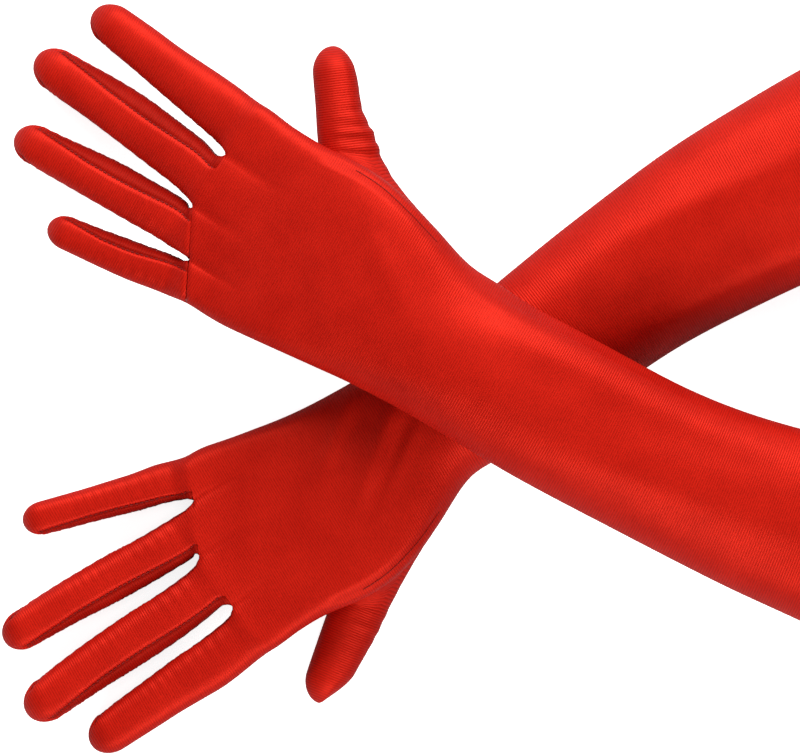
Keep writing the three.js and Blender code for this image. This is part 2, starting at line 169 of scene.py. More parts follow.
def curve(keys, x):
    """A smooth curve through (place, value) keys, level at both ends."""
    places, values = np.array(keys, float).T
    slopes = np.zeros_like(values)
    slopes[1:-1] = (values[2:] - values[:-2]) / (places[2:] - places[:-2])
    i = np.clip(np.searchsorted(places, x) - 1, 0, len(places) - 2)
    span = places[i + 1] - places[i]
    t = np.clip((x - places[i]) / span, 0, 1)
    start = (1 + 2 * t) * (1 - t) ** 2 * values[i] + t * (1 - t) ** 2 * span * slopes[i]
    end = t * t * (3 - 2 * t) * values[i + 1] + t * t * (t - 1) * span * slopes[i + 1]
    return start + end


def bump(x, width):
    return np.exp(-((x / width) ** 2))


def squarish(t):
    """A cosine or sine for a round section with flatter sides, as an empty stall has."""
    return np.sign(t) * np.abs(t) ** 0.8


def unit(vectors):
    return vectors / np.maximum(1e-6, np.linalg.norm(vectors, axis=-1, keepdims=True))


def swelling(shape, u):
    """The sum of smooth bumps, each (u, reach, amount)."""
    return sum(amount * bump(u - at, reach) for at, reach, amount in shape)


def line_distance(u, v, a, b):
    """Distance from the line a to b, with its side as the sign, and the share of the way along it."""
    (ua, va), (ub, vb) = a, b
    length = math.hypot(ub - ua, vb - va)
    du, dv = (ub - ua) / length, (vb - va) / length
    along = ((u - ua) * du + (v - va) * dv) / length
    return (u - ua) * -dv + (v - va) * du, along


def folds(lines, u, v):
    """Height of soft folds, each (start, end, width, height): a ridge with a valley beside it."""
    total = np.zeros(np.broadcast(u, v).shape)
    for a, b, width, height in lines:
        away, along = line_distance(u, v, a, b)
        fade = ease(along, -0.25, 0.25) * (1 - ease(along, 0.75, 1.25))
        total += height * fade * (bump(away, width) - 0.7 * bump(away - 1.7 * width, 1.2 * width))
    return total


def root_point(n):
    taken = sum(f["breadth"] + f["web"] for f in list(FINGERS.values())[:n])
    return np.array([PALM_LENGTH + ROOT_AHEAD[n], THUMB_SIDE - taken])


def palm_share(v):
    """0 at the little finger's edge of the hand and 1 at the thumb's."""
    return (v + LITTLE_SIDE) / PALM_BREADTH


class Glove:
    """Where a glove's points lie: u, v and z to places in the frame's plan."""

    def __init__(self, pose):
        self.__dict__.update(pose)
        heading = math.radians(self.heading)
        self.ahead = np.array([math.cos(heading), math.sin(heading)])
        self.steps = np.arange(0, SLEEVE_LENGTH + 20, 0.5)
        middle = (self.steps[1:] + self.steps[:-1]) / 2
        headings = self.sleeve_heading(middle)
        moves = 0.5 * np.stack([np.cos(headings), np.sin(headings)], 1)
        self.path = np.vstack([[0, 0], np.cumsum(moves, 0)]) + self.wrist
        self.rise = lambda u: np.zeros(np.shape(u))

    def sleeve_heading(self, s):
        return np.radians(np.interp(s, [0, NEAR_END, FAR_END], [self.heading - 180, self.near, self.far]))

    def middle(self, u):
        back = np.maximum(0, -u)
        sleeve = np.stack([np.interp(back, self.steps, self.path[:, k]) for k in (0, 1)], -1)
        return sleeve + np.maximum(0, u)[..., None] * self.ahead

    def across(self, u):
        angle = self.sleeve_heading(np.maximum(0, -u)) - self.turn * math.pi / 2
        return np.stack([np.cos(angle), np.sin(angle)], -1)

    def tilt(self, u, v):
        """The hand lies a little on its little finger's side, so the thumb's side is higher."""
        begun = ease(u, -0.1 * PALM_LENGTH, 0.4 * PALM_LENGTH)
        ended = ease(u, 0.8 * PALM_LENGTH, STALL_END)
        return PALM_TILT * np.clip(palm_share(v), 0, 1) * begun * (1 - ended)

    def place(self, u, v, z):
        u, v, z = np.broadcast_arrays(u, v, z)
        plan = self.middle(u) + self.across(u) * v[..., None]
        return np.concatenate([plan, (z + self.rise(u))[..., None]], -1)

    def spread_out(self, u, v, inset=0):
        """v moved from the frame's breadth at the knuckles to the cloth's own breadth at u."""
        share = palm_share(v)
        even = mix(inset - curve(LITTLE_EDGE, u), curve(THUMB_EDGE, u) - inset, share)
        thumbward = swelling(self.thumb_shape, u) * share**3
        outward = swelling(self.little_shape, u) * (1 - share) ** 3
        return even + thumbward - outward

    def thumb_side(self, u):
        return curve(THUMB_EDGE, u) + swelling(self.thumb_shape, u)


def ride_over(over, under):
    """The glove that crosses stands on the other at the wrist and comes down at both ends."""
    places = np.arange(0, FAR_END, 2.0)
    gaps = np.linalg.norm(under.middle(-places)[:, None] - over.middle(-places)[None], axis=-1)
    i, j = np.unravel_index(gaps.argmin(), gaps.shape)
    at_under, at_over = -places[i], -places[j]
    top = 2 * curve(HALF_THICKNESS, at_under - CROSSING_REACH) + CROSSING_GAP

    def soft(x):
        return np.hypot(x, CROSSING_SOFTNESS) - CROSSING_SOFTNESS

    def rise(u):
        end = np.where(u > at_over, STALL_END, -SLEEVE_LENGTH)
        return np.maximum(0, top * (1 - soft(u - at_over) / soft(end - at_over)))

    over.rise = rise


class Finger:
    """One finger stall: its sections by the distance x from the root line and the angle round it."""

    def __init__(self, glove, n):
        self.glove, self.n = glove, n
        self.name = list(FINGERS)[n]
        self.__dict__.update(FINGERS[self.name])
        a, b = root_point(n), root_point(n + 1)
        self.root = (a + b) / 2
        self.root_half = np.linalg.norm(a - b) / 2
        self.root_across = (a - b) / np.linalg.norm(a - b)
        self.length, self.spread = glove.stalls[self.name]
        turn = math.radians(self.spread)
        self.direction = np.array([math.cos(turn), math.sin(turn)])
        self.side = np.array([-math.sin(turn), math.cos(turn)])
        self.round = self.tip * ROUNDING

    def root_profile(self, angle):
        """The section at the root: a wall on a side that has a neighbour, rounded on an outer side."""
        up = np.degrees(np.arcsin(np.clip(np.abs(np.sin(np.radians(angle))), 0, 1)))
        thumbward = np.cos(np.radians(angle)) > 0
        wall = up < CROTCH_ANGLE - 0.01
        c = np.where(wall, 1, (90 - up) / (90 - CROTCH_ANGLE))
        s = np.where(wall, (1 - CROTCH_DIP) * up / CROTCH_ANGLE, 1)
        dip = np.where(wall, 0, CROTCH_DIP * c**4)
        free = (thumbward & (self.n == 0)) | (~thumbward & (self.n == 3))
        c = np.where(free, np.cos(np.radians(up)) ** 0.6, c)
        s = np.where(free, np.sin(np.radians(up)) ** 0.6, s)
        dip = np.where(free, 0, dip)
        return c * np.where(thumbward, 1, -1), s * np.sign(np.sin(np.radians(angle))), dip

    def local(self, x, angle, inset=0):
        """u, v and z of points of the stall."""
        near = ease(x, 0, ROOT_REACH)
        along = np.clip(x / self.length, 0, 1)
        cap = np.clip((x - self.length + self.round) / self.round, 0, 1)
        end = np.sqrt(np.maximum(0, 1 - cap * cap))
        thumbward = np.cos(np.radians(angle))
        free = (self.n == 0) & (thumbward > 0) | (self.n == 3) & (thumbward < 0)
        narrow = np.where(free, ease(x, 0, EDGE_REACH), near**CROTCH_ROUNDNESS)
        half = mix(self.root_half, mix(self.breadth, self.tip, along**1.5) / 2, narrow)
        swell = self.glove.swell[self.name] * ease(x, 0, SWELL_REACH) * (1 - ease(along, 0.4, 0.9))
        half = half + swell * ease(thumbward, 0, 1)
        thick = mix(ROOT_THICKNESS / 2, mix(self.thickness, 0.9 * self.tip, along**1.5) / 2, near)
        c, s, dip = self.root_profile(angle)
        s = s * (1 - dip)
        c = mix(c, squarish(np.cos(np.radians(angle))), near)
        s = mix(s, squarish(np.sin(np.radians(angle))), near)
        left = np.maximum(0, 1 - inset / half)
        over = unit(self.root_across * (1 - near)[..., None] + self.side * near[..., None])
        uv = self.root + self.direction * x[..., None] + over * (half * left * end * c)[..., None]
        # The stall leaves the hand straight ahead and turns to its own line.
        uv[..., 1] -= math.tan(math.radians(self.spread)) * x * np.exp(-x / ROOT_REACH)
        uv[..., 1] += self.glove.lean[self.name] * ease(x, 0, LEAN_REACH)
        uv[..., 1] += self.glove.tip_shift[self.name] * ease(along, 0.6, 1)
        u, v = uv[..., 0], uv[..., 1]
        at_knuckles = self.glove.spread_out(np.float64(PALM_LENGTH), v)
        v = mix(v, at_knuckles, 1 - ease(x, 0, SPREAD_REACH))
        z = thick * mix(1, end, TIP_DROP) + thick * end * left * s
        return u, v, z + self.glove.tilt(u, v)

    def point(self, x, angle, inset=0):
        return self.glove.place(*self.local(x, angle, inset))

    def fork(self, x):
        """Half the angle that a fourchette covers. It narrows, and ends before the tip."""
        ends = self.length - 0.55 * self.round
        left = np.sqrt(np.clip((ends - x) / (0.3 * self.length), 0, 1))
        return mix(45, 22, np.clip(x / self.length, 0, 1)) * left

    def roll(self, x):
        """How far the fourchette on the thumb's side is turned up to the back: most at mid-length."""
        along = x / self.length
        at_root, most = self.glove.roll
        return mix(mix(at_root, most, ease(along, 0, 0.5)), TIP_ROLL, ease(along, 0.6, 1))

    def outer_roll(self, x):
        """How far the seams on the outer side lie below the middle: they show at the tip only."""
        along = x / self.length
        at_root, further = self.glove.outer_roll
        return mix(mix(at_root, further, ease(along, 0.15, 0.5)), -TIP_ROLL, ease(along, 0.72, 0.95))

    def seam(self, x, mark):
        """The angle of one of the stall's seams at x."""
        fork, roll, outer = self.fork(x), self.roll(x), self.outer_roll(x)
        return {
            "thumb_back": fork + roll,
            "thumb_front": -fork + roll,
            "outer_back": 180 - fork + outer,
            "outer_front": 180 + fork + outer,
            "outer_under": 225 + 0 * fork,
        }[mark]

    def strip_depth(self, x, angle, body):
        """How far a fourchette lies inside the round of its stall, because it is a nearly flat strip."""
        thumbward = np.cos(np.radians(angle)) > 0
        off = angle - np.where(thumbward, self.roll(x), 180 + self.outer_roll(x))
        off = (off + 180) % 360 - 180
        chord = np.cos(np.radians(self.fork(x))) / np.cos(np.radians(np.clip(off, -80, 80)))
        return STRIP_FLATNESS * body * np.clip(1 - chord, 0, 1)


def grid_shell(name, outer, inner, uv, wrap, keep=None):
    """A thin closed piece from a grid of outer points and the inner points behind them.

    Faces of the inner skin take the second material. The UV map is in millimetres: round the piece and
    along it.
    """
    rows, columns = outer.shape[:2]
    i, j = np.meshgrid(np.arange(rows - 1), np.arange(columns if wrap else columns - 1), indexing="ij")
    if keep is not None:
        kept = keep(i, j)
        i, j = i[kept], j[kept]
    i, j = i.ravel(), j.ravel()
    k = (j + 1) % columns
    quads = np.stack([i * columns + j, (i + 1) * columns + j, (i + 1) * columns + k, i * columns + k], 1)
    count = rows * columns
    edges = {}
    for quad in quads.tolist():
        for a, b in zip(quad, quad[1:] + quad[:1]):
            if (b, a) in edges:
                del edges[(b, a)]
            else:
                edges[(a, b)] = True
    rim = np.array([[b, a, a + count, b + count] for a, b in edges], int).reshape(-1, 4)
    faces = np.vstack([quads, quads[:, ::-1] + count, rim])
    points = np.vstack([outer.reshape(-1, 3), inner.reshape(-1, 3)])
    a, b, c = (points[quads[:, m]] for m in (0, 1, 2))
    middle = points[quads[:, 0]].mean(0)
    if wrap and np.einsum("ij,ij->", np.cross(b - a, c - a), a - middle) < 0:
        faces = faces[:, ::-1]
    if not wrap:
        inward = points[quads[:, 0] + count] - a
        if np.einsum("ij,ij->", np.cross(b - a, c - a), inward) > 0:
            faces = faces[:, ::-1]
    skin = np.zeros(len(faces), int)
    skin[len(quads) : 2 * len(quads)] = 1
    mesh = bpy.data.meshes.new(name)
    mesh.from_pydata(((points + OFFSET) * MM).tolist(), [], faces.tolist())
    mesh.polygons.foreach_set("material_index", skin)
    mesh.polygons.foreach_set("use_smooth", np.ones(len(faces), bool))
    layer = mesh.uv_layers.new(name="cloth_mm")
    corner = np.vstack([uv.reshape(-1, 2)] * 2)[faces.ravel()]
    layer.data.foreach_set("uv", corner.ravel())
    work = bmesh.new()
    work.from_mesh(mesh)
    work.faces.ensure_lookup_table()
    for face in work.faces[2 * len(quads) :]:
        for edge in face.edges:
            edge.smooth = False
    bmesh.ops.remove_doubles(work, verts=work.verts, dist=1e-6)
    bmesh.ops.dissolve_degenerate(work, edges=work.edges, dist=1e-7)
    work.to_mesh(mesh)
    work.free()
    piece = bpy.data.objects.new(name, mesh)
    bpy.context.scene.collection.objects.link(piece)
    return piece


def dress(piece, *finishes):
    for finish in finishes:
        piece.data.materials.append(finish)
    return piece


# ---------------------------------------------------------------- materials


def srgb(code):
    """A linear colour from an sRGB hex value."""
    parts = [int(code[k : k + 2], 16) / 255 for k in (0, 2, 4)]
    return [p / 12.92 if p <= 0.04045 else ((p + 0.055) / 1.055) ** 2.4 for p in parts] + [1]


def add(tree, kind, values=None, **settings):
    """A node with its settings, and values or links for its inputs."""
    node = tree.nodes.new(kind)
    for key, value in settings.items():
        setattr(node, key, value)
    for key, value in (values or {}).items():
        if isinstance(value, bpy.types.NodeSocket):
            tree.links.new(value, node.inputs[key])
        else:
            node.inputs[key].default_value = value
    return node


def new_material(name):
    material = bpy.data.materials.new(name)
    material.use_nodes = True
    tree = material.node_tree
    tree.nodes.clear()
    shader = add(tree, "ShaderNodeBsdfPrincipled")
    add(tree, "ShaderNodeOutputMaterial", {"Surface": shader.outputs[0]})
    return material, tree, shader


def ribs(tree, pitch):
    """A wave from 0 to 1 that repeats along the piece, from its own UV map in millimetres."""
    uv = add(tree, "ShaderNodeUVMap", uv_map="cloth_mm")
    along = add(tree, "ShaderNodeSeparateXYZ", {0: uv.outputs[0]}).outputs["Y"]
    turns = add(tree, "ShaderNodeMath", {0: along, 1: 2 * math.pi / pitch}, operation="MULTIPLY")
    wave = add(tree, "ShaderNodeMath", {0: turns.outputs[0]}, operation="SINE")
    even = add(tree, "ShaderNodeMapRange", {"Value": wave.outputs[0], "From Min": -1, "From Max": 1})
    return even.outputs[0]


def stretch_satin(name, low, high, gloss):
    """Red nylon and elastane satin, warp knitted: fine ribs across the arm, with a soft broad gloss.

    The real ribs are about 0.7 mm apart, and are drawn at RIB_PITCH so that they show. low and high are the
    reds between which the cloth changes in soft clouds.
    """
    material, tree, shader = new_material(name)
    wave = ribs(tree, RIB_PITCH)
    place = add(tree, "ShaderNodeTexCoord").outputs["Object"]
    cloud = add(tree, "ShaderNodeTexNoise", {"Vector": place, "Scale": 55, "Detail": 3, "Roughness": 0.6})
    fuzz = add(tree, "ShaderNodeTexNoise", {"Vector": place, "Scale": 900, "Detail": 2})
    tone = add(tree, "ShaderNodeMapRange", {"Value": cloud.outputs[0], "From Min": 0.3, "From Max": 0.7})
    red = add(tree, "ShaderNodeMix", {"Factor": tone.outputs[0], "A": srgb(low), "B": srgb(high)},
              data_type="RGBA")
    # The colour darkens with the same wave and noise that lower the bump. The fibre noise is the knit's own
    # tone, and the dark rib grooves are painted shade.
    grain_and_groove_shade = add(tree, "ShaderNodeMath", {0: fuzz.outputs[0], 1: 0.8, 2: wave}, operation="MULTIPLY_ADD")
    dark = add(tree, "ShaderNodeMix",
               {"Factor": grain_and_groove_shade.outputs[0], "A": srgb("b8acac"), "B": srgb("ffffff")}, data_type="RGBA")
    colour = add(tree, "ShaderNodeMix",
                 {"Factor": 1, "A": red.outputs["Result"], "B": dark.outputs["Result"]},
                 data_type="RGBA", blend_type="MULTIPLY")
    height = add(tree, "ShaderNodeMath", {0: fuzz.outputs[0], 1: 0.35, 2: wave}, operation="MULTIPLY_ADD")
    relief = add(tree, "ShaderNodeBump",
                 {"Height": height.outputs[0], "Strength": 0.5, "Distance": 0.14 * MM})
    tree.links.new(colour.outputs["Result"], shader.inputs["Base Color"])
    tree.links.new(relief.outputs[0], shader.inputs["Normal"])
    shader.inputs["Roughness"].default_value = 0.46
    shader.inputs["Metallic"].default_value = gloss
    shader.inputs["Specular IOR Level"].default_value = 2 * gloss
    shader.inputs["Specular Tint"].default_value = srgb("ff7050")
    return material


def panel_satin():
    """The cloth of the hand, the sleeve, the thumbs and the stalls' backs and fronts."""
    return stretch_satin("stretch_satin", "b8160c", "c61c10", 0.22)


def fourchette_satin_with_painted_shade():
    """The strips between the fingers are cut along the ribs, so they shine less. Their darker reds are
    painted shade: the shade that falls between the fingers.
    """
    return stretch_satin("stretch_satin_on_the_cross", "8e0e07", "9e130a", 0.08)


def satin_wrong_side():
    """The back of the same knit: duller and darker, with no gloss on it."""
    material, tree, shader = new_material("satin_wrong_side")
    wave = ribs(tree, WRONG_SIDE_RIB_PITCH)
    # The colour is darker where the wave lowers the bump: painted shade in the rib grooves.
    colour = add(tree, "ShaderNodeMix", {"Factor": wave, "A": srgb("7d0f0a"), "B": srgb("93150e")},
                 data_type="RGBA")
    relief = add(tree, "ShaderNodeBump", {"Height": wave, "Strength": 0.3, "Distance": 0.15 * MM})
    tree.links.new(colour.outputs["Result"], shader.inputs["Base Color"])
    tree.links.new(relief.outputs[0], shader.inputs["Normal"])
    shader.inputs["Roughness"].default_value = 0.85
    shader.inputs["Specular IOR Level"].default_value = 0.2
    return material


def elastic_tape():
    """Woven elastic tape: matt, with cords of covered rubber about 1.2 mm apart round the arm."""
    material, tree, shader = new_material("elastic_tape")
    place = add(tree, "ShaderNodeTexCoord").outputs["Object"]
    wave = add(tree, "ShaderNodeTexWave", {"Vector": place, "Scale": 130})
    colour = add(tree, "ShaderNodeMix",
                 {"Factor": wave.outputs["Fac"], "A": srgb("6e0f0b"), "B": srgb("8c1912")},
                 data_type="RGBA")
    tree.links.new(colour.outputs["Result"], shader.inputs["Base Color"])
    shader.inputs["Roughness"].default_value = 0.9
    return material


def polyester_thread():
    """Spun polyester sewing thread, a shade darker than the satin, with a dull gloss."""
    material, tree, shader = new_material("polyester_thread")
    place = add(tree, "ShaderNodeTexCoord").outputs["Object"]
    twist = add(tree, "ShaderNodeTexNoise", {"Vector": place, "Scale": 1500, "Detail": 1})
    colour = add(tree, "ShaderNodeMix",
                 {"Factor": twist.outputs[0], "A": srgb("6a0804"), "B": srgb("8e120a")}, data_type="RGBA")
    tree.links.new(colour.outputs["Result"], shader.inputs["Base Color"])
    shader.inputs["Roughness"].default_value = 0.6
    shader.inputs["Specular IOR Level"].default_value = 0.25
    return material


def background_paper():
    """Pale seamless background paper: matt, even and lit to white.

    It throws back less light than it shows, as a sheet that is lit on its own does.
    """
    material, tree, shader = new_material("background_paper")
    seen = add(tree, "ShaderNodeLightPath").outputs["Is Camera Ray"]
    tone = add(tree, "ShaderNodeMix",
               {"Factor": seen, "A": srgb("b0b0b0"), "B": srgb("ffffff")}, data_type="RGBA")
    glow = add(tree, "ShaderNodeMath", {0: seen, 1: 0.8}, operation="MULTIPLY").outputs[0]
    tree.links.new(tone.outputs["Result"], shader.inputs["Base Color"])
    tree.links.new(glow, shader.inputs["Emission Strength"])
    shader.inputs["Emission Color"].default_value = srgb("ffffff")
    shader.inputs["Roughness"].default_value = 0.95
    shader.inputs["Specular IOR Level"].default_value = 0
    return material


# ---------------------------------------------------------------- cloth pieces


def seam_roll(away):
    """How far the cloth sinks at a distance from a seam."""
    return SEAM_SINK * bump(away, SEAM_REACH)


def pucker(x, away):
    """Small gathers between the stitches of a seam, and wider ones that run a little into the panel."""
    fine = 0.1 * np.cos(2 * math.pi * x / STITCH_PITCH) * bump(away - 1.1, 0.9)
    wide = 0.08 * np.sin(2 * math.pi * x / 5.3 + 1.3 * np.sin(x / 9.0)) * bump(away - 2.2, 2)
    return fine + wide


def stall_places(stall, count):
    """Places along a stall: even down to its rounded end, and closer over it."""
    straight = stall.length - stall.round
    rounded = straight + stall.round * np.sin(np.linspace(0, math.pi / 2, CAP_ROWS)[1:])
    return np.concatenate([np.linspace(0, straight, count), rounded])


def panel(finger, piece, low, high, steps, cloth, wrong, clip_end=None):
    """One sewn panel of a stall, between two seams that are functions of x."""
    x = stall_places(finger, int((finger.length - finger.round) / 0.75))
    if clip_end is not None:
        x = x[x <= clip_end]
        x = np.append(x, clip_end)
    share = (1 - np.cos(np.linspace(0, math.pi, steps + 1))) / 2
    x_grid, share_grid = np.meshgrid(x, share, indexing="ij")
    angle = mix(low(x_grid), high(x_grid), share_grid)
    body = mix(finger.breadth, finger.tip, np.clip(x_grid / finger.length, 0, 1) ** 1.5) / 2
    cap = np.clip((x_grid - finger.length + finger.round) / finger.round, 0, 1)
    body = body * np.maximum(0.3, np.sqrt(1 - cap * cap))
    from_low = np.radians(angle - low(x_grid)) * body
    from_high = np.radians(high(x_grid) - angle) * body
    away = np.minimum(from_low, from_high)
    started = ease(x_grid, 0, 3)
    straight = 1 - ease(x_grid, finger.length - 0.9 * finger.round, finger.length)
    sunk = seam_roll(away) * started
    is_strip = piece.startswith("fourchette")
    if is_strip:
        sunk = sunk + (finger.strip_depth(x_grid, angle, body) + 0.1) * started
    lift = pucker(x_grid, away) * started * straight
    lift = lift + finger_wrinkles(finger, x_grid, angle) * ease(x_grid, 0, 12) * straight
    if has_cross_seam(finger) or is_strip:
        sunk = sunk + seam_roll(x_grid) * ease(np.sin(np.radians(angle)), 0, 0.4)
    inset = sunk - lift
    outer = finger.point(x_grid, angle, inset)
    inner = finger.point(np.minimum(x_grid, finger.length - 0.2), angle, inset + CLOTH)
    uv = np.stack([np.radians(angle) * finger.breadth / 2, finger.local(x_grid, angle, inset)[0]], -1)
    made = grid_shell(f"{finger.glove.name}_{finger.name}_{piece}_cloth", outer, inner, uv, False)
    return dress(made, cloth, wrong)


def has_cross_seam(finger):
    """The left ring and little stalls are sewn to the back of the hand. The others are cut in one with it."""
    return finger.glove.name == "left" and finger.n >= 2


def finger_wrinkles(finger, x, angle):
    """Soft cross creases on the back where the finger bends, and a slow unevenness along it."""
    phase = 2.1 * finger.n + (0.7 if finger.glove.name == "left" else 2.9)
    across = np.cos(np.radians(angle))
    top = ease(np.sin(np.radians(angle)), 0.15, 0.75) * ease(-across, -0.8, 0.4)
    root = 0.11 * bump(x - 17, 12) * np.sin(2 * math.pi * x / 4.6 + phase + across + np.sin(x / 6))
    joint = 0.09 * bump(x - 0.55 * finger.length, 10) * np.sin(2 * math.pi * x / 3.9 + 2 * phase + across)
    slow = 0.12 * np.sin(x / 8.5 + phase) * np.cos(np.radians(angle - 60))
    return (root + joint) * top + slow * ease(x, 4, 14)


def add_finger(finger, satin, wrong):
    """The panels of one stall, sewn as in the frame."""
    glove, name = finger.glove, finger.name
    node = f"{glove.name}_{name}_"

    def seam(mark, turn=0):
        return lambda x: finger.seam(x, mark) + turn

    ends = finger.length - 0.55 * finger.round
    if name == "index":
        parts = {
            "stall": (seam("outer_front", -360), seam("outer_back"), 44, None),
            "fourchette": (seam("outer_back"), seam("outer_front"), 12, ends),
        }
    elif name == "little":
        parts = {
            "back": (seam("thumb_back"), seam("outer_under"), 26, None),
            "front": (seam("outer_under"), seam("thumb_front", 360), 14, None),
            "fourchette": (seam("thumb_front"), seam("thumb_back"), 12, ends),
        }
    else:
        parts = {
            "back": (seam("thumb_back"), seam("outer_back"), 18, None),
            "front": (seam("outer_front"), seam("thumb_front", 360), 18, None),
            "fourchette_a": (seam("thumb_front"), seam("thumb_back"), 12, ends),
            "fourchette_b": (seam("outer_back"), seam("outer_front"), 12, ends),
        }
    for part, (low, high, steps, clip_end) in parts.items():
        # The fourchettes take the darker satin, whose reds are painted shade between the fingers.
        cloth = STRIP if part.startswith("fourchette") else satin
        made = panel(finger, part, low, high, steps, cloth, wrong, clip_end)
        bend(made, finger)
        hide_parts(node + part)


def bend(piece, finger):
    """Bakes the piece's placement into its mesh; the points it works out at the stall's root and 15 mm past
    it are not used.
    """
    glove = finger.glove
    corners = [root_point(finger.n), root_point(finger.n + 1)]
    first = max(float(np.dot(p - finger.root, finger.direction)) for p in corners)
    ends = []
    for x in (first, first + 15):
        u, v = finger.root + finger.direction * x
        ends.append((glove.place(u, v, ROOT_THICKNESS / 2 + glove.tilt(u, v)) + OFFSET) * MM)
    start, end = ends
    end[2] = start[2]
    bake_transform(piece)


def root_columns(fingers):
    """Columns of the trank round the root line: how far ahead, v, height profile and dip of each.

    They go over the backs from the thumb's side, and return underneath.
    """
    found = []

    def take(finger, angles):
        c, s, dip = finger.root_profile(np.array(angles, float))
        for k in range(len(angles)):
            at = finger.root + finger.root_across * finger.root_half * c[k]
            found.append((at[0] - PALM_LENGTH, at[1], s[k], dip[k]))

    top = {n: np.linspace(CROTCH_ANGLE, 180 - CROTCH_ANGLE, 15) for n in range(4)}
    top[0] = np.concatenate([[0, 5, 12, 20, 30, 42, 55, 68, 80], np.linspace(92, 180 - CROTCH_ANGLE, 9)])
    top[3] = 180 - top[0][::-1]
    for n in range(4):
        take(fingers[n], top[n][1 if n else 0 :])
    edge = len(found)
    for n in (3, 2, 1, 0):
        under = 360 - top[n][::-1]
        take(fingers[n], under[1:] if n else under[1:-1])
    return np.array(found), edge


def trank_section(glove, columns, u, inset):
    """Points of the hand and sleeve at u for every column."""
    ahead, v, up, dip = columns.T
    share = np.clip(palm_share(v), 0, 1)
    round_up = np.sign(up) * 2 * np.sqrt(np.clip(share * (1 - share), 0, 1))
    flat = ease(u, 0, 0.9 * PALM_LENGTH)
    slant = ease(u, 0.45 * PALM_LENGTH, PALM_LENGTH)
    height = mix(round_up, up, flat)
    height = height * (1 - dip * ease(u, PALM_LENGTH - 32, PALM_LENGTH))
    half = curve(HALF_THICKNESS, u)
    across = glove.spread_out(u, v, inset)
    at = u + slant * ahead
    z = half + (half - inset) * height + glove.tilt(at, across)
    return glove.place(at, across, z), at, across, height


ARM_FOLDS = {
    "left": [
        ((-20, 16), (-150, 24), 6, 0.9),
        ((-60, -12), (-165, -2), 8, 0.7),
        ((-92, 25), (-4, 22.5), 2.6, 1.1),
        ((30, -22), (-12, -16), 5, 0.5),
        ((44, 22), (14, 2), 5, 0.6),
        ((60, 8), (38, -16), 6, 0.4),
        ((-100, 30), (-190, 34), 5, 0.8),
    ],
    "right": [
        ((15, -13), (43, 10), 4, 1.5),
        ((13, -2), (40, 19), 3, 0.9),
        ((27, -25), (50, -7), 3, 0.7),
        ((-16, -24), (-34, 8), 5, 0.7),
        ((-70, -18), (-170, -8), 7, 0.8),
        ((-80, 16), (-180, 26), 7, 0.9),
        ((66, 6), (36, -10), 6, 0.4),
    ],
}


def cloth_swell(glove, u, v, up):
    """The slack of the cloth on the arm: named folds, and a slow unevenness everywhere."""
    turn = 1.7 if glove.name == "left" else 0.4
    slow = 0.35 * np.sin(u / 23 + 0.05 * v + turn) * np.sin(v / 13 + turn + u / 61)
    fine = 0.12 * np.sin(u / 9.5 + 0.13 * v + 2 * turn) * np.sin(v / 7 - turn)
    total = folds(ARM_FOLDS[glove.name], u, v) * ease(up, 0.0, 0.5)
    quiet = 1 - ease(u, PALM_LENGTH - 25, PALM_LENGTH - 5)
    return total + (slow + fine) * quiet


def add_trank(glove, fingers, satin, wrong):
    """The hand and the sleeve in one piece. Returns its skins and the edge of the thumb's hole in them."""
    columns, edge = root_columns(fingers)
    by_the_seams = np.arange(PALM_LENGTH, PALM_LENGTH - 6, -0.6)
    hand_and_wrist = np.arange(PALM_LENGTH - 6, -FAR_END, -1.5)
    sleeve = np.arange(-FAR_END, -SLEEVE_LENGTH, -3.0)
    hem = [-SLEEVE_LENGTH, -SLEEVE_LENGTH - HEM_ROLL]
    u = np.concatenate([by_the_seams, hand_and_wrist, sleeve, hem])
    u_grid = np.repeat(u[:, None], len(columns), 1)
    _, at, across, up = trank_section(glove, columns, u_grid, 0)
    sunk = 0.5 * ease(-u_grid, SLEEVE_LENGTH - 1, SLEEVE_LENGTH + HEM_ROLL)
    # The side seam runs down the little finger's side to the hem.
    columns_away = np.abs(np.arange(len(columns)) - (edge - 1))
    below_the_stalls = 1 - ease(u_grid, PALM_LENGTH - 20, PALM_LENGTH - 6)
    sunk = sunk + 0.5 * bump(columns_away * 1.3, 1.2)[None, :] * below_the_stalls
    for finger in fingers:
        sunk = sunk + cross_seam_sink(finger, u_grid, across, up)
    sunk = sunk + thumb_seam_sink(glove, at, across, up)
    inset = sunk - cloth_swell(glove, at, across, up)
    outer = trank_section(glove, columns, u_grid, inset)[0]
    inner = trank_section(glove, columns, u_grid, inset + CLOTH)[0]
    uv = np.stack([across, at], -1)

    hole_from = len(columns) - HOLE_COLUMNS
    beside_hole = (u[:-1] <= HOLE["from"]) & (u[1:] >= HOLE["to"])

    def keep(i, j):
        return ~(beside_hole[i] & (j >= hole_from))

    made = grid_shell(f"{glove.name}_trank_cloth", outer, inner, uv, True, keep)
    dress(made, satin, wrong)
    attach(made, f"{glove.name}_glove")
    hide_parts(f"{glove.name}_trank")
    rows = np.flatnonzero(beside_hole)
    return outer, inner, (rows[0], rows[-1] + 1, hole_from)


def cross_seam_sink(finger, u, v, up):
    """The hand's edge sinks where a stall is sewn to its back, or else only at a fourchette's end."""
    if finger.n == 0:
        return 0 * u
    across = (v - finger.root[1]) / finger.root_half
    fourchette_end = 1 - 0.9 * (finger.glove.roll[0] + 15) / 60
    low, high = (-1, 1) if has_cross_seam(finger) else (fourchette_end, 1.05)
    inside = ease(across, low - 0.12, low + 0.05) * (1 - ease(across, high - 0.05, high + 0.12))
    return 0.8 * seam_roll(PALM_LENGTH - u) * inside * ease(up, 0, 0.4)


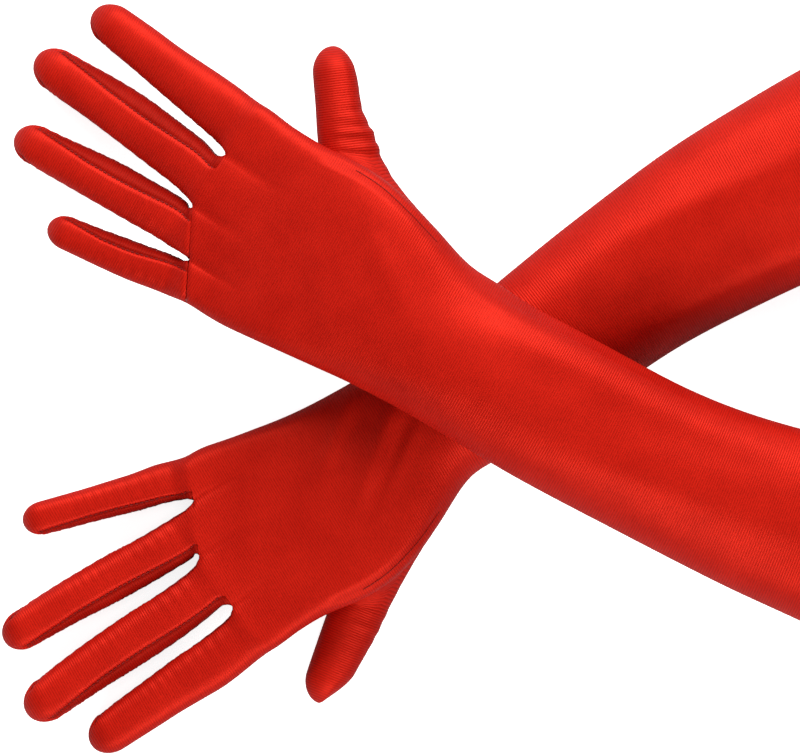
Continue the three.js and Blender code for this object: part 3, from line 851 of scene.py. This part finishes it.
def thumb_seam_sink(glove, u, v, up):
    """The seam that joins the hand to the thumb's base runs just inside the hand's edge."""
    away = glove.thumb_side(u) - THUMB_SEAM["inside"] - v
    begun = 1 - ease(u, THUMB_SEAM["from"] - 2, THUMB_SEAM["from"] + 4)
    lasting = ease(u, THUMB_SEAM["to"], THUMB_SEAM["to"] + 16)
    return 0.9 * bump(away, 1) * begun * lasting * ease(up, 0, 0.3)


class Thumb:
    """A thumb's stall: rings by the distance x from its root, where the base joins it."""

    def __init__(self, glove):
        self.glove = glove
        self.breadth, self.length = glove.thumb["breadth"], glove.thumb["length"]
        turn = math.radians(glove.thumb["angle"])
        self.direction = np.array([math.cos(turn), math.sin(turn)])
        self.across = np.array([math.sin(turn), -math.cos(turn)])
        self.root = np.array([THUMB["along"] - glove.thumb["back"], THUMB_SIDE + THUMB["out"]])
        self.round = THUMB["tip"] * ROUNDING

    def ring(self, x, angle, inset):
        """Points round the stall. Its outer side is broader at the root, at the ball of the thumb."""
        cap = np.clip((x - self.length + self.round) / self.round, 0, 1)
        end = np.sqrt(np.maximum(0, 1 - cap * cap))
        along = np.clip(x / self.length, 0, 1) ** 1.5
        half = mix(self.breadth, THUMB["tip"], along) / 2
        thick = mix(THUMB["thickness"], 0.9 * THUMB["tip"], along) / 2
        outer = ease(-np.cos(np.radians(angle)), 0, 1)
        flare = self.glove.thumb["flare"] * (1 - ease(x, 0, self.glove.thumb["reach"]))
        taper = self.glove.thumb["taper"] * ease(x, 0.6 * self.length, self.length)
        half = half + outer * (flare - taper)
        left = np.maximum(0, 1 - inset / half)
        uv = self.root + self.direction * x[..., None]
        uv = uv + self.across * (half * end * left * np.cos(np.radians(angle)))[..., None]
        z = thick * mix(1, end, TIP_DROP) + thick * end * left * np.sin(np.radians(angle))
        return self.glove.place(uv[..., 0], uv[..., 1], z)


def hole_loop(grid, hole):
    """The edge of the thumb hole: down the hand's edge, across, back up the palm and across."""
    first, last, column = hole
    end = grid.shape[1]
    down = [grid[i, 0] for i in range(first, last)]
    bottom = [grid[last, (j % end)] for j in range(end, column, -1)]
    up = [grid[i, column] for i in range(last, first, -1)]
    top = [grid[first, j % end] for j in range(column, end)]
    sides = [len(down), len(bottom), len(up), len(top)]
    return np.array(down + bottom + up + top), sides


def thumb_wrinkles(depth, x, angle):
    """The thumb is creased across on its outer side where it bends, depth millimetres high."""
    across = np.cos(np.radians(angle))
    outer = ease(-across, -0.7, 0.8)
    creases = np.sin(2 * math.pi * x / 5.8 - 1.4 * across + 0.5) + 0.3 * np.sin(2 * math.pi * x / 3.3 + 2)
    return depth * (creases * outer * bump(x - 1, 12) + 0.4 * np.sin(x / 5 + 1) * bump(x - 18, 12))


def add_thumb(glove, outer, inner, hole, satin, wrong):
    """The thumb in one piece: its base is sewn into the hole and turns smoothly into its stall."""
    thumb = Thumb(glove)
    depth = glove.thumb["creases"]
    loop, sides = hole_loop(outer, hole)
    loop_inner, _ = hole_loop(inner, hole)
    centre = loop.mean(0)
    corners = 45 + 90 * np.arange(4)
    angles = np.concatenate([at + 90 * np.arange(n) / n for at, n in zip(corners, sides)])
    base = np.linspace(0, 1, 22)[:-1]
    stall = stall_places(thumb, 40)
    heading = thumb.direction[0] * glove.ahead + thumb.direction[1] * glove.across(np.array(1.0))
    toward = np.append(heading, 0)

    def rows(start, inset):
        end = thumb.ring(np.zeros(len(angles)), angles, inset - thumb_wrinkles(depth, 0, angles))
        found = []
        for w in base:
            reach = np.linalg.norm(end - start, axis=1, keepdims=True)
            out = (end - start) * 0.6
            arrive = toward * reach * 0.75
            point = ((1 + 2 * w) * (1 - w) ** 2 * start + w * (1 - w) ** 2 * out
                     + w * w * (3 - 2 * w) * end + w * w * (w - 1) * arrive)
            lift = thumb_wrinkles(depth, -BASE_LENGTH * (1 - w), angles) * ease(w, 0, 0.4)
            found.append(point + unit(point - point.mean(0)) * lift[:, None])
        for x in stall:
            creased = inset - thumb_wrinkles(depth, x, angles)
            found.append(thumb.ring(np.full(len(angles), x), angles, creased))
        return np.array(found)

    seam_gap = 0.5
    outer_rows = rows(loop + seam_gap * unit(centre - loop), 0)
    inner_rows = rows(loop_inner + seam_gap * unit(centre - loop_inner), CLOTH)
    along = np.concatenate([-BASE_LENGTH * (1 - base), stall])
    uv = np.stack(np.meshgrid(along, np.radians(angles) * thumb.breadth / 2, indexing="ij")[::-1], -1)
    made = grid_shell(f"{glove.name}_thumb_cloth", outer_rows, inner_rows, uv, True)
    dress(made, satin, wrong)
    start, end = [
        (glove.place(THUMB["along"], THUMB_SIDE + out, THUMB["thickness"] / 2) + OFFSET) * MM
        for out in (THUMB["out"], 19)
    ]
    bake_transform(made)
    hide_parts(f"{glove.name}_thumb_base", f"{glove.name}_thumb_stall")


def add_facing(glove, fingers, wrong):
    """The turned-in facing closes the tunnel that holds the elastic."""
    columns, _ = root_columns(fingers)
    up_the_sleeve, depth = np.array(FACING).T
    u_grid = np.repeat(up_the_sleeve[:, None] - SLEEVE_LENGTH, len(columns), 1)
    inset = np.repeat(depth[:, None], len(columns), 1)
    _, at, across, up = trank_section(glove, columns, u_grid, 0)
    inset = inset - cloth_swell(glove, at, across, up)
    inner = trank_section(glove, columns, u_grid, inset + 0.5)[0]
    outer = trank_section(glove, columns, u_grid, inset)[0]
    made = grid_shell(f"{glove.name}_hem_facing_cloth", outer, inner, np.stack([across, at], -1), True)
    dress(made, wrong, wrong)
    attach(made, f"{glove.name}_glove")
    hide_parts(f"{glove.name}_hem_facing")


# ---------------------------------------------------------------- stitches


def stitch_tree(thread):
    """Stitches along lines: each line is cut at the pitch, and a short thread is laid at every cut."""
    tree = bpy.data.node_groups.new("stitches", "GeometryNodeTree")
    tree.interface.new_socket("Lines", in_out="INPUT", socket_type="NodeSocketGeometry")
    for name in ("Pitch", "Length", "Radius"):
        tree.interface.new_socket(name, in_out="INPUT", socket_type="NodeSocketFloat")
    tree.interface.new_socket("Stitches", in_out="OUTPUT", socket_type="NodeSocketGeometry")
    given = add(tree, "NodeGroupInput").outputs
    line = add(tree, "GeometryNodeMeshToCurve", {0: given["Lines"]})
    cut = add(tree, "GeometryNodeResampleCurve",
              {"Curve": line.outputs[0], "Length": given["Pitch"]}, mode="LENGTH")
    half = add(tree, "ShaderNodeMath", {0: given["Length"], 1: 0.5}, operation="MULTIPLY").outputs[0]
    bead = add(tree, "GeometryNodeMeshIcoSphere", {"Radius": 1.0, "Subdivisions": 2})
    size = add(tree, "ShaderNodeCombineXYZ", {0: given["Radius"], 1: given["Radius"], 2: half})
    tangent = add(tree, "GeometryNodeInputTangent").outputs[0]
    turn = add(tree, "FunctionNodeAlignRotationToVector", {"Vector": tangent}, axis="Z")
    laid = add(tree, "GeometryNodeInstanceOnPoints", {
        "Points": cut.outputs[0], "Instance": bead.outputs[0],
        "Rotation": turn.outputs[0], "Scale": size.outputs[0]})
    real = add(tree, "GeometryNodeRealizeInstances", {0: laid.outputs[0]})
    smooth = add(tree, "GeometryNodeSetShadeSmooth", {0: real.outputs[0]})
    coloured = add(tree, "GeometryNodeSetMaterial", {"Geometry": smooth.outputs[0], "Material": thread})
    add(tree, "NodeGroupOutput", {0: coloured.outputs[0]})
    return tree


def sew(name, lines, tree, pitch=STITCH_PITCH, length=1.7, radius=0.24):
    """A mesh of stitches along lines of points in millimetres."""
    points, edges = [], []
    for line in lines:
        edges += [(len(points) + k, len(points) + k + 1) for k in range(len(line) - 1)]
        points += ((line + OFFSET) * MM).tolist()
    mesh = bpy.data.meshes.new(name)
    mesh.from_pydata(points, edges, [])
    piece = bpy.data.objects.new(name, mesh)
    bpy.context.scene.collection.objects.link(piece)
    modifier = piece.modifiers.new("stitches", "NODES")
    modifier.node_group = tree
    sizes = {"Pitch": pitch, "Length": length, "Radius": radius}
    for item in tree.interface.items_tree:
        if item.item_type == "SOCKET" and item.name in sizes:
            modifier[item.identifier] = sizes[item.name] * MM
    evaluated = piece.evaluated_get(bpy.context.evaluated_depsgraph_get())
    plain = bpy.data.meshes.new_from_object(evaluated)
    piece.modifiers.clear()
    piece.data = plain
    plain.name = name
    return piece


def add_finger_stitches(finger, tree):
    """A row of stitches along each seam of a stall, down to its rounded end."""
    marks = {"index": ["outer_back", "outer_front"],
             "middle": ["thumb_back", "thumb_front", "outer_back", "outer_front"],
             "ring": ["thumb_back", "thumb_front", "outer_back", "outer_front"],
             "little": ["thumb_back", "thumb_front", "outer_under"]}[finger.name]
    x = np.arange(1.5, finger.length - 0.75 * finger.round, 0.8)
    lines = [finger.point(x, finger.seam(x, mark), SEAM_SINK - 0.2) for mark in marks]
    made = sew(f"{finger.glove.name}_{finger.name}_stitches", lines, tree)
    bend(made, finger)


def add_glove_stitches(glove, fingers, tree):
    """The top stitches round the hem, the side seam, and the seam over the thumb's base."""
    columns, edge = root_columns(fingers)
    lines = []
    ring = np.append(np.arange(len(columns)), 0)
    for up_the_sleeve in HEM_STITCHES:
        flat = np.full((1, len(columns)), up_the_sleeve - SLEEVE_LENGTH)
        _, at, across, up = trank_section(glove, columns, flat, 0)
        swell = cloth_swell(glove, at, across, up)
        lines.append(trank_section(glove, columns, flat, -0.05 - swell)[0][0][ring])
    u = np.arange(PALM_LENGTH - 14, -SLEEVE_LENGTH, -1.5)[:, None]
    one = columns[edge - 1 : edge]
    _, at, across, up = trank_section(glove, one, u, 0)
    lines.append(trank_section(glove, one, u, 0.3 - cloth_swell(glove, at, across, up))[0][:, 0])
    made = sew(f"{glove.name}_stitches", lines, tree)
    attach(made, f"{glove.name}_glove")
    # The thumb's seam is drawn with stitches that touch, as one fine dark line: partly the seam's thread,
    # partly painted shade where the hand's edge lies over the thumb's base.
    closed = [thumb_seam_line(glove, columns, edge)]
    made = sew(f"{glove.name}_thumb_seam", closed, tree, pitch=1, length=1.6, radius=0.17)
    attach(made, f"{glove.name}_glove")


def thumb_seam_line(glove, columns, edge):
    """Points of the thumb seam on the back of the hand, found between the columns."""
    top = columns[:edge]
    found = []
    for u in np.arange(*THUMB_SEAM["stitched"], -0.8):
        row = np.full((1, len(top)), float(u))
        _, at, across, up = trank_section(glove, top, row, 0)
        inset = thumb_seam_sink(glove, at, across, up) - cloth_swell(glove, at, across, up)
        points, _, over, _ = trank_section(glove, top, row, inset)
        wanted = float(glove.thumb_side(np.array(u)) - THUMB_SEAM["inside"])
        order = np.argsort(over[0])
        found.append([np.interp(wanted, over[0][order], points[0][order, k]) for k in range(3)])
    return np.array(found) + [0, 0, 0.05]


# ---------------------------------------------------------------- stage


CAMERA_HEIGHT = 4.0  # m, from straight above
FRAMED_WIDTH = 0.308  # m
SENSOR_WIDTH = 36  # mm


def add_camera():
    camera = bpy.data.objects.new("camera", bpy.data.cameras.new("camera"))
    bpy.context.scene.collection.objects.link(camera)
    camera.data.sensor_width = SENSOR_WIDTH
    camera.data.lens = SENSOR_WIDTH * CAMERA_HEIGHT / FRAMED_WIDTH
    camera.data.clip_end = 100
    camera.location = (OFFSET[0] * MM, OFFSET[1] * MM, CAMERA_HEIGHT)
    camera.rotation_euler = (0, 0, 0)
    bpy.context.scene.camera = camera


def add_light(name, place, size, power):
    """A softbox that faces the gloves, in metres and watts."""
    light = bpy.data.objects.new(name, bpy.data.lights.new(name, "AREA"))
    bpy.context.scene.collection.objects.link(light)
    light.data.shape = "RECTANGLE"
    light.data.size, light.data.size_y = size
    light.data.energy = power
    light.location = place
    light.rotation_euler = (-Vector(place)).to_track_quat("-Z", "Y").to_euler()
    light.visible_camera = False


def add_stage():
    bpy.context.scene.view_settings.view_transform = "Standard"
    bpy.ops.mesh.primitive_plane_add(size=60, location=(0, 0, -0.0005))
    floor = bpy.context.object
    floor.name = "floor"
    dress(floor, background_paper())
    add_light("top_softbox", (-0.1, 0.1, 2.6), (1.4, 1.4), 9)
    add_light("far_softbox", (-0.2, 2.2, 1.2), (3.2, 1.6), 112)
    add_light("near_softbox", (0.2, -2.2, 1.4), (3.2, 1.4), 76)
    world = bpy.data.worlds.new("studio")
    bpy.context.scene.world = world
    world.use_nodes = True
    background = world.node_tree.nodes["Background"]
    background.inputs["Color"].default_value = (1, 1, 1, 1)
    background.inputs["Strength"].default_value = 0.16


# The frame's origin is the middle of the pair's underside, and the plan's is between the wrists.
# The right thumb's pivot, at the outer side of its root, is known in both.
OFFSET = np.zeros(3)
right, left = Glove(RIGHT), Glove(LEFT)
pivot = next(j for j in frame["joints"] if j["child"] == "right_thumb")["pos_m"]
turned = math.radians(RIGHT_THUMB_ANGLE)
outer_side = (THUMB["along"] - THUMB["breadth"] / 2 * math.sin(turned),
              THUMB_SIDE + THUMB["out"] + THUMB["breadth"] / 2 * math.cos(turned))
OFFSET = np.array(pivot) / MM - right.place(*outer_side, pivot[2] / MM)

add_camera()
ride_over(left, right)
SATIN, STRIP, WRONG, THREAD = panel_satin(), fourchette_satin_with_painted_shade(), satin_wrong_side(), polyester_thread()
STITCHES = stitch_tree(THREAD)
ELASTIC = elastic_tape()
for glove in (right, left):
    fingers = [Finger(glove, n) for n in range(4)]
    outer, inner, hole = add_trank(glove, fingers, SATIN, WRONG)
    add_thumb(glove, outer, inner, hole, SATIN, WRONG)
    add_facing(glove, fingers, WRONG)
    for finger in fingers:
        add_finger(finger, SATIN, WRONG)
        add_finger_stitches(finger, STITCHES)
    add_glove_stitches(glove, fingers, STITCHES)
    elastic = frame["nodes"][f"{glove.name}_hem_elastic"]
    elastic.data.materials.clear()
    elastic.data.materials.append(ELASTIC)
add_stage()
